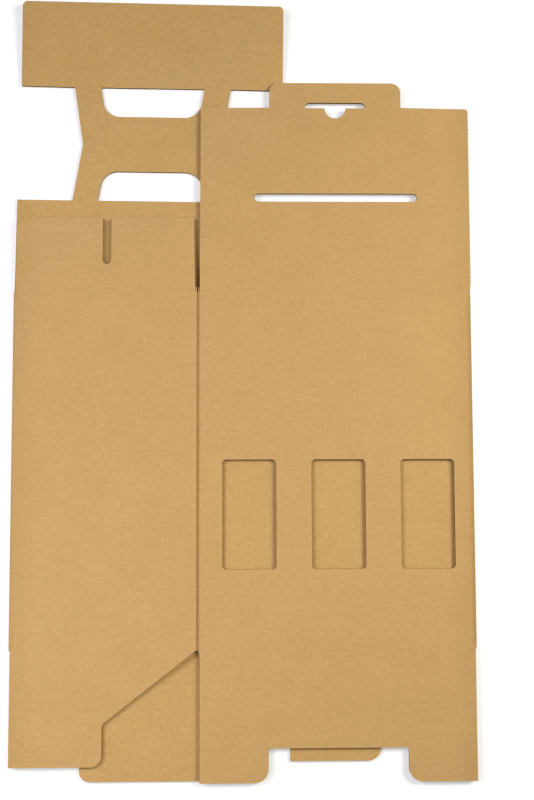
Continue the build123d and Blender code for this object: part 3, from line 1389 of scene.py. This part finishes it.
@dataclass
class FrontBottomFlap(HingedFlap):
    """Front's bottom flap: two legs beside the notch that takes the back's tongue."""

    depth: float = 118.3
    foot_rise: float = 0.35
    relief: float = 2.0
    right_relief: float = 1.5
    root_relief: float = 0.6
    chamfer: float = 5.0
    notch_width: float = 127.1
    notch_shift: float = 0.3
    notch_depth: float = 30.6
    notch_corner: float = 2.0
    leg_corner: float = 12.5

    name: ClassVar[str] = "front_bottom_board"
    node: ClassVar[str] = "front_bottom_flap"
    upwards: ClassVar[bool] = False

    def reach(self) -> float:
        """Length of the flap."""
        return self.depth

    def outline(self) -> list[Corner]:
        """Corners from the seam's side of the crease round the notch.

        Returns:
            Corners in order.
        """
        plan, y = self.plan, self.crease
        left, right = plan.side_depth + self.relief, plan.width - self.right_relief
        foot, head = y - self.depth, y - self.depth + self.notch_depth
        notch_left = plan.front_middle + self.notch_shift - self.notch_width / 2
        notch_right = notch_left + self.notch_width
        slant = self.foot_rise / (right - left)
        return [
            Corner(plan.side_depth + self.root_relief, y),
            Corner(left, y - self.chamfer),
            Corner(left, foot),
            Corner(notch_left, foot + slant * (notch_left - left), self.leg_corner),
            Corner(notch_left, head, self.notch_corner),
            Corner(notch_right, head, self.notch_corner),
            Corner(notch_right, foot + slant * (notch_right - left), self.leg_corner),
            Corner(right, foot + self.foot_rise),
            Corner(right, y - plan.root_relief),
            Corner(plan.right_bend, y, edge=EdgeKind.CREASE),
        ]


Operand = Union["Shade", float]


class Shade:
    """A shader socket that takes part in Python sums."""

    def __init__(self, tree: "ShaderTree", socket: bpy.types.NodeSocket) -> None:
        """Wraps a socket of a tree."""
        self.tree = tree
        self.socket = socket

    def _sum(self, operation: str, first: Operand, second: Operand) -> "Shade":
        """Adds a Math node, or a Vector Math node where a vector takes part.

        Args:
            operation: The node's operation.
            first: First operand.
            second: Second operand.

        Returns:
            The result's socket.
        """
        values = {0: first, 1: second}
        if any(isinstance(value, Shade) and value.socket.type == "VECTOR" for value in values.values()):
            return self.tree.node("ShaderNodeVectorMath", {"operation": operation}, values)["Vector"]
        return self.tree.node("ShaderNodeMath", {"operation": operation}, values)["Value"]

    def __add__(self, other: Operand) -> "Shade":
        """Sum."""
        return self._sum("ADD", self, other)

    def __radd__(self, other: Operand) -> "Shade":
        """Reflected sum."""
        return self._sum("ADD", other, self)

    def __sub__(self, other: Operand) -> "Shade":
        """Difference."""
        return self._sum("SUBTRACT", self, other)

    def __rsub__(self, other: Operand) -> "Shade":
        """Reflected difference."""
        return self._sum("SUBTRACT", other, self)

    def __mul__(self, other: Operand) -> "Shade":
        """Product."""
        return self._sum("MULTIPLY", self, other)

    def __rmul__(self, other: Operand) -> "Shade":
        """Reflected product."""
        return self._sum("MULTIPLY", other, self)

    def __abs__(self) -> "Shade":
        """Size without sign."""
        return self._sum("ABSOLUTE", self, 0.0)

    def sine(self) -> "Shade":
        """Sine of an angle in radians."""
        return self._sum("SINE", self, 0.0)

    def larger(self, other: Operand) -> "Shade":
        """The larger of two values."""
        return self._sum("MAXIMUM", self, other)

    def ramp(self, low: float, high: float) -> "Shade":
        """Smooth step from 0 at low to 1 at high.

        Args:
            low: Value at which the step starts.
            high: Value at which it ends.

        Returns:
            The step's socket.
        """
        settings = {"interpolation_type": "SMOOTHSTEP"}
        values = {"Value": self, "From Min": low, "From Max": high}
        return self.tree.node("ShaderNodeMapRange", settings, values)["Result"]


class NodeOutputs:
    """Outputs of a node, by name or identifier."""

    def __init__(self, tree: "ShaderTree", node: bpy.types.Node) -> None:
        """Keeps the node and its tree."""
        self.tree = tree
        self.node = node

    def __getitem__(self, name: str) -> Shade:
        """The output of that name that is in use."""
        return Shade(self.tree, ShaderTree.find(self.node.outputs, name))


class ShaderTree:
    """Node tree of a material or the world, emptied and ready for nodes."""

    def __init__(self, owner: Union[bpy.types.Material, bpy.types.World]) -> None:
        """Clears the owner's nodes.

        Args:
            owner: The material or the world.
        """
        owner.use_nodes = True
        self.nodes = owner.node_tree.nodes
        self.links = owner.node_tree.links
        self.nodes.clear()

    @staticmethod
    def find(sockets: Any, key: Union[str, int]) -> bpy.types.NodeSocket:
        """Finds a socket.

        Args:
            sockets: A node's inputs or outputs.
            key: The socket's place, identifier or name.

        Returns:
            The socket, and of several that share a name the one in use.
        """
        if isinstance(key, int):
            return sockets[key]
        return next(
            socket
            for socket in sockets
            if socket.identifier == key or (socket.name == key and socket.enabled)
        )

    def node(
        self,
        kind: str,
        settings: Optional[dict[str, Any]] = None,
        values: Optional[dict[Any, Any]] = None,
    ) -> NodeOutputs:
        """Adds a node.

        Args:
            kind: The node's type.
            settings: Its own settings, which are set first.
            values: Values or links of its sockets, by place, identifier or name.

        Returns:
            The node's outputs.
        """
        made = self.nodes.new(kind)
        for name, value in (settings or {}).items():
            setattr(made, name, value)
        for key, value in (values or {}).items():
            socket = self.find(made.inputs, key)
            if isinstance(value, Shade):
                self.links.new(value.socket, socket)
            else:
                socket.default_value = value
        return NodeOutputs(self, made)

    def mark(self, mark: Mark) -> NodeOutputs:
        """What the pieces keep at their points."""
        return self.node("ShaderNodeAttribute", {"attribute_name": mark.value})

    def mix(self, factor: Operand, first: Union[Shade, Colour], second: Union[Shade, Colour]) -> Shade:
        """Mixes two colours.

        Args:
            factor: Share of the second colour.
            first: First colour.
            second: Second colour.

        Returns:
            The mixed colour.
        """
        values: dict[str, Any] = {"Factor_Float": factor}
        for key, colour in (("A_Color", first), ("B_Color", second)):
            values[key] = colour if isinstance(colour, Shade) else (*colour, 1.0)
        return self.node("ShaderNodeMix", {"data_type": "RGBA"}, values)["Result_Color"]


@dataclass(frozen=True)
class NoiseLayer:
    """One scale of the liner's mottling: sizes in millimetres, weights in tone and relief."""

    across: float
    along: float
    detail: float
    tone: float
    relief: float

    MIDDLE: ClassVar[float] = 0.5
    ROUGHNESS: ClassVar[float] = 0.55

    def swing(self, tree: ShaderTree, sheet: Shade) -> Shade:
        """Noise on the sheet, about zero.

        Args:
            tree: The material's nodes.
            sheet: Places on the sheet.

        Returns:
            Values that swing to either side of zero.
        """
        sizes = {"X": 1 / self.across, "Y": 1 / self.along, "Z": 1 / self.along}
        scaled = sheet * tree.node("ShaderNodeCombineXYZ", None, sizes)["Vector"]
        values = {"Vector": scaled, "Scale": 1.0, "Detail": self.detail, "Roughness": self.ROUGHNESS}
        return tree.node("ShaderNodeTexNoise", None, values)["Fac"] - self.MIDDLE


@dataclass(frozen=True)
class FleckLayer:
    """Scattered fibres or specks of one kind. Sizes in millimetres, turn in degrees."""

    cell: float
    stretch: float
    turn: float
    radius_share: float
    kept_share: float
    colour: Colour
    strength: float
    core_share: float = 0.4

    def mask(self, tree: ShaderTree, sheet: Shade) -> Shade:
        """Where the flecks lie.

        Args:
            tree: The material's nodes.
            sheet: Places on the sheet.

        Returns:
            Cover from 0 to the layer's strength.
        """
        mapping = {
            "Vector": sheet,
            "Rotation": (0, 0, math.radians(self.turn)),
            "Scale": (1 / (self.cell * self.stretch), 1 / self.cell, 0),
        }
        turned = tree.node("ShaderNodeMapping", None, mapping)["Vector"]
        settings = {"voronoi_dimensions": "2D"}
        cells = tree.node("ShaderNodeTexVoronoi", settings, {"Vector": turned, "Scale": 1.0})
        chance = tree.node("ShaderNodeSeparateColor", None, {"Color": cells["Color"]})["Red"]
        spot = 1 - cells["Distance"].ramp(self.radius_share * self.core_share, self.radius_share)
        kept = chance.ramp(1 - self.kept_share, 1.0)
        return spot * kept * self.strength


PALE_FIBRE: Colour = (0.80, 0.60, 0.35)
BRIGHT_SPECK: Colour = (0.90, 0.76, 0.52)
DARK_SPECK: Colour = (0.25, 0.135, 0.045)


@dataclass(frozen=True)
class KraftFinish:
    """Brown kraft liner: mottled fibrous paper with flecks and specks, raw at its cut edges, with
    painted shade at creases, folds and cut edges and a painted highlight along the rims.
    """

    deep: Colour = (0.500, 0.293, 0.100)
    pale: Colour = (0.694, 0.434, 0.174)
    inner_deep: Colour = (0.500, 0.293, 0.096)
    inner_pale: Colour = (0.694, 0.434, 0.167)
    # Cut-edge paper, partly its own darker colour and partly painted shade, and painted shade in the
    # flute hollows.
    edge_paper_and_shade: Colour = (0.34, 0.185, 0.052)
    hollow: Colour = (0.07, 0.032, 0.008)
    # Colour of the painted shade at the creases and folds.
    painted_shade: Colour = (0.30, 0.17, 0.05)
    # Colour of the painted highlight along the rounded rims of cut edges.
    rim: Colour = (0.84, 0.58, 0.27)
    rim_highlight_share: float = 0.35
    # Share of the painted shade in the pressed creases.
    crease_shade_share: float = 0.03
    # Share and reach of the painted shade near the folds, then of the darker painted shade on the folds'
    # edges.
    fold_shade_share: float = 0.14
    fold_shade_reach: float = 28.0
    fold_edge_shade_shares: tuple[float, float] = (0.12, 0.65)
    fold_edge_shade_reach: float = 6.5
    roughness: float = 0.8
    roughness_swing: float = 0.14
    specular: float = 0.22
    bump_distance: float = 0.06 * MM
    bump_strength: float = 0.55
    middle_tone: float = 0.5
    cloud: NoiseLayer = NoiseLayer(across=38.0, along=38.0, detail=2.0, tone=0.3, relief=0.0)
    mottle: NoiseLayer = NoiseLayer(across=8.0, along=6.4, detail=3.0, tone=0.4, relief=0.4)
    grain: NoiseLayer = NoiseLayer(across=2.5, along=2.25, detail=3.0, tone=1.0, relief=0.5)
    fibre: NoiseLayer = NoiseLayer(across=4.0, along=0.45, detail=2.0, tone=0.45, relief=1.0)
    flecks: tuple[FleckLayer, ...] = (
        FleckLayer(
            cell=8.0, stretch=2.6, turn=24.0, radius_share=0.06, kept_share=0.35,
            colour=PALE_FIBRE, strength=0.4,
        ),
        FleckLayer(
            cell=8.6, stretch=2.4, turn=-48.0, radius_share=0.055, kept_share=0.30,
            colour=PALE_FIBRE, strength=0.4,
        ),
        FleckLayer(
            cell=40.0, stretch=1.6, turn=8.0, radius_share=0.015, kept_share=0.5,
            colour=BRIGHT_SPECK, strength=0.6,
        ),
        FleckLayer(
            cell=16.0, stretch=1.3, turn=70.0, radius_share=0.03, kept_share=0.35,
            colour=DARK_SPECK, strength=0.5,
        ),
    )

    def liner_colour(self, tree: ShaderTree, sheet: Shade, within: Shade, tone: Shade) -> Shade:
        """Colour of the two liners with their flecks.

        Args:
            tree: The material's nodes.
            sheet: Places on the sheet.
            within: 0 on the outer liner and 1 on the inner one.
            tone: Share of the pale tone.

        Returns:
            The colour, which is a little warmer on the inner liner.
        """
        deep = tree.mix(within, self.deep, self.inner_deep)
        colour = tree.mix(tone, deep, tree.mix(within, self.pale, self.inner_pale))
        for layer in self.flecks:
            colour = tree.mix(layer.mask(tree, sheet), colour, layer.colour)
        return colour

    def shaded_edge_colour(self, tree: ShaderTree, place: NodeOutputs, board: Board) -> Shade:
        """Colour of a cut edge: paper darkened partly by its own colour and partly by painted shade
        where liners and flutes show, and painted shade in the flute hollows.

        Args:
            tree: The material's nodes.
            place: Places on the sheet, by axis.
            board: The board.

        Returns:
            The colour.
        """
        from_middle = place["Z"] - board.thickness / 2
        wave = (place["X"] * (2 * math.pi / board.flute_pitch)).sine() * board.flute_rise
        flute = 1 - abs(from_middle - wave).ramp(board.flute_paper, board.flute_paper + board.flute_fade)
        liner_at = board.thickness / 2 - board.core_margin
        liner = abs(from_middle).ramp(liner_at, liner_at + board.rim_round)
        return tree.mix(flute.larger(liner), self.hollow, self.edge_paper_and_shade)

    def painted_shade_share(self, tree: ShaderTree, place: NodeOutputs, plan: Plan) -> Shade:
        """Share of painted shade along the creases, near the two folds and on the folds' edges.

        Args:
            tree: The material's nodes.
            place: Places on the sheet, by axis.
            plan: The carrier's plan.

        Returns:
            The share, from 0 to 1.
        """
        above_foot = (place["Y"] - plan.bottom_crease).ramp(0.0, self.fold_edge_shade_reach)
        on_walls = above_foot * (plan.top_crease - place["Y"]).ramp(0.0, self.fold_edge_shade_reach)
        # Painted shade in the pressed creases.
        shaded = tree.mark(Mark.CREASE)["Fac"] * self.crease_shade_share
        # Painted shade near each fold, darker on the fold's edge along the walls.
        for middle, fold_edge_shade_share in zip(plan.fold_middles, self.fold_edge_shade_shares):
            distance = abs(place["X"] - middle)
            near = 1 - distance.ramp(0.0, self.fold_shade_reach)
            painted_shade = on_walls * (1 - distance.ramp(0.0, self.fold_edge_shade_reach))
            shaded = shaded.larger(near * self.fold_shade_share).larger(painted_shade * fold_edge_shade_share)
        return shaded

    def material(self, plan: Plan) -> bpy.types.Material:
        """Makes the material.

        Args:
            plan: The carrier's plan.

        Returns:
            The material.
        """
        made = bpy.data.materials.new("kraft_liner")
        tree = ShaderTree(made)
        board = plan.board
        sheet = tree.mark(Mark.SHEET)["Vector"]
        place = tree.node("ShaderNodeSeparateXYZ", None, {"Vector": sheet})
        layers = (self.cloud, self.mottle, self.grain, self.fibre)
        swings = [layer.swing(tree, sheet) for layer in layers]
        tone = self.middle_tone + sum(swing * layer.tone for swing, layer in zip(swings, layers))
        relief = sum(swing * layer.relief for swing, layer in zip(swings, layers))
        _, _, grain, fibre = swings

        within = place["Z"].ramp(board.rim_round, board.thickness - board.rim_round)
        colour = self.liner_colour(tree, sheet, within, tone)
        # Painted highlight along the rims of the cut edges.
        rim = tree.mark(Mark.RIM)["Fac"]
        colour = tree.mix(rim * rim * self.rim_highlight_share, colour, self.rim)
        # Painted shade darkens the creases, the two folds and the folds' edges.
        colour = tree.mix(self.painted_shade_share(tree, place, plan), colour, self.painted_shade)
        cut = tree.mark(Mark.CUT)["Fac"]
        # Cut walls take the edge colour with its painted shade.
        colour = tree.mix(cut, colour, self.shaded_edge_colour(tree, place, board))

        values = {"Strength": self.bump_strength, "Distance": self.bump_distance, "Height": relief}
        bump = tree.node("ShaderNodeBump", None, values)
        shader = tree.node(
            "ShaderNodeBsdfPrincipled",
            None,
            {
                "Base Color": colour,
                "Roughness": self.roughness + (grain + fibre) * self.roughness_swing,
                "Specular IOR Level": self.specular,
                "Normal": bump["Normal"],
            },
        )
        tree.node("ShaderNodeOutputMaterial", None, {"Surface": shader["BSDF"]})
        return made


@dataclass(frozen=True)
class SoftLamp:
    """Square softbox with a grid that narrows its light. Metres and watts."""

    name: str
    place: Point
    aim: Point
    size: float
    power: float
    colour: Colour
    spread: float = math.radians(125)

    def build(self) -> None:
        """Adds the lamp."""
        light = bpy.data.lights.new(self.name, "AREA")
        light.shape = "SQUARE"
        light.size = self.size
        light.energy = self.power
        light.color = self.colour
        light.spread = self.spread
        lamp = bpy.data.objects.new(self.name, light)
        lamp.location = self.place
        way = Vector(self.aim) - Vector(self.place)
        lamp.rotation_euler = way.to_track_quat("-Z", "Y").to_euler()
        bpy.context.scene.collection.objects.link(lamp)


def grey(level: float) -> Colour:
    """The grey of a level."""
    return level, level, level


@dataclass(frozen=True)
class Studio:
    """White floor, even sky, soft lamps and the photograph's camera."""

    floor_size: float = 8.0
    floor_gap: float = 0.00005
    floor_bounce: float = 0.75
    floor_white: float = 0.85
    floor_lift: float = 0.36
    floor_fade: tuple[float, float] = (0.42, 0.75)
    sky: Colour = (1.0, 0.91, 0.76)
    sky_level: float = 0.15
    lamps: tuple[SoftLamp, ...] = (
        SoftLamp(
            name="upper_left_softbox",
            place=(-0.88, 0.24, 0.92),
            aim=(-0.26, -0.30, 0.0),
            size=0.55,
            power=5.15,
            colour=(0.88, 0.89, 1.02),
        ),
        SoftLamp(
            name="upper_right_softbox",
            place=(0.89, 0.28, 0.84),
            aim=(0.15, -0.17, 0.0),
            size=0.55,
            power=5.65,
            colour=(1.0, 1.01, 0.96),
        ),
        SoftLamp(
            name="lower_left_fill",
            place=(-0.30, -0.36, 0.50),
            aim=(-0.2, -0.36, 0.0),
            size=0.3,
            power=0.28,
            colour=(1.0, 0.98, 0.95),
        ),
    )
    camera_place: Point = (-0.954 * MM, -99.80 * MM, 1031.9 * MM)
    camera_pitch: float = math.radians(-4.607)
    camera_yaw: float = math.radians(1.278)
    camera_roll: float = math.radians(0.097)
    camera_lens: float = 50.0
    camera_film: float = 36.0

    def build(self) -> None:
        """Sets the whole studio up."""
        self._floor()
        self._sky()
        for lamp in self.lamps:
            lamp.build()
        self._camera()
        bpy.context.scene.view_settings.view_transform = "Standard"

    @staticmethod
    def _seen(tree: ShaderTree) -> Shade:
        """Whether a ray shows the background to the camera, straight or by way of gloss or glass.

        Args:
            tree: Nodes of the floor or the world.

        Returns:
            1 for such a ray and 0 for others.
        """
        path = tree.node("ShaderNodeLightPath")
        direct = path["Is Camera Ray"].larger(path["Is Glossy Ray"])
        return direct.larger(path["Is Transmission Ray"])

    def _floor(self) -> None:
        """Adds the floor, which is lifted to white where it is seen and keeps the shadows."""
        half = self.floor_size / 2
        corners = [(-half, -half), (half, -half), (half, half), (-half, half)]
        mesh = bpy.data.meshes.new("floor")
        mesh.from_pydata([(x, y, -self.floor_gap) for x, y in corners], [], [(0, 1, 2, 3)])
        floor = bpy.data.objects.new("floor", mesh)
        bpy.context.scene.collection.objects.link(floor)
        paper = bpy.data.materials.new("white_floor")
        tree = ShaderTree(paper)
        bounce = tree.node("ShaderNodeBsdfDiffuse", None, {"Color": (*grey(self.floor_bounce), 1)})
        white = tree.node("ShaderNodeBsdfDiffuse", None, {"Color": (*grey(self.floor_white), 1)})
        place = tree.node("ShaderNodeNewGeometry")["Position"]
        distance = tree.node("ShaderNodeVectorMath", {"operation": "LENGTH"}, {0: place})["Value"]
        glow = tree.mix(distance.ramp(*self.floor_fade), grey(self.floor_lift), WHITE)
        lift = tree.node("ShaderNodeEmission", None, {"Color": glow})
        shown = tree.node("ShaderNodeAddShader", None, {0: white["BSDF"], 1: lift["Emission"]})
        sides = {"Fac": self._seen(tree), 1: bounce["BSDF"], 2: shown["Shader"]}
        surface = tree.node("ShaderNodeMixShader", None, sides)
        tree.node("ShaderNodeOutputMaterial", None, {"Surface": surface["Shader"]})
        mesh.materials.append(paper)

    def _sky(self) -> None:
        """Lights the carrier evenly from all sides and shows white behind it."""
        world = bpy.data.worlds.new("even_sky")
        tree = ShaderTree(world)
        seen = self._seen(tree)
        level = self.sky_level + seen * (1 - self.sky_level)
        colour = tree.mix(seen, self.sky, WHITE)
        background = tree.node("ShaderNodeBackground", None, {"Color": colour, "Strength": level})
        tree.node("ShaderNodeOutputWorld", None, {"Surface": background["Background"]})
        bpy.context.scene.world = world

    def _camera(self) -> None:
        """Adds the camera where the photograph was taken from."""
        view = bpy.data.cameras.new("photo_camera")
        view.lens = self.camera_lens
        view.sensor_width = self.camera_film
        camera = bpy.data.objects.new("photo_camera", view)
        pitch = Matrix.Rotation(self.camera_pitch, 4, "X")
        yaw = Matrix.Rotation(self.camera_yaw, 4, "Y")
        roll = Matrix.Rotation(self.camera_roll, 4, "Z")
        camera.matrix_world = Matrix.Translation(self.camera_place) @ (roll @ yaw @ pitch).transposed()
        bpy.context.scene.collection.objects.link(camera)
        bpy.context.scene.camera = camera


def main() -> None:
    """Builds the carrier's boards round the frame, then the studio."""
    logging.basicConfig(level=logging.INFO, format="%(name)s: %(message)s")
    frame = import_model()
    board = Board()
    plan = Plan.from_frame(frame, board)
    finish = KraftFinish().material(plan)
    for kind in (Sleeve, Lid, SideTopFlap, SideBottomFlap, FrontBottomFlap):
        part = kind(plan, board)
        piece = part.build()
        part.dress(piece, finish)
        LOG.info("%s: %d faces", piece.name, len(piece.data.polygons))
    Studio().build()


if __name__ == "__main__":
    main()
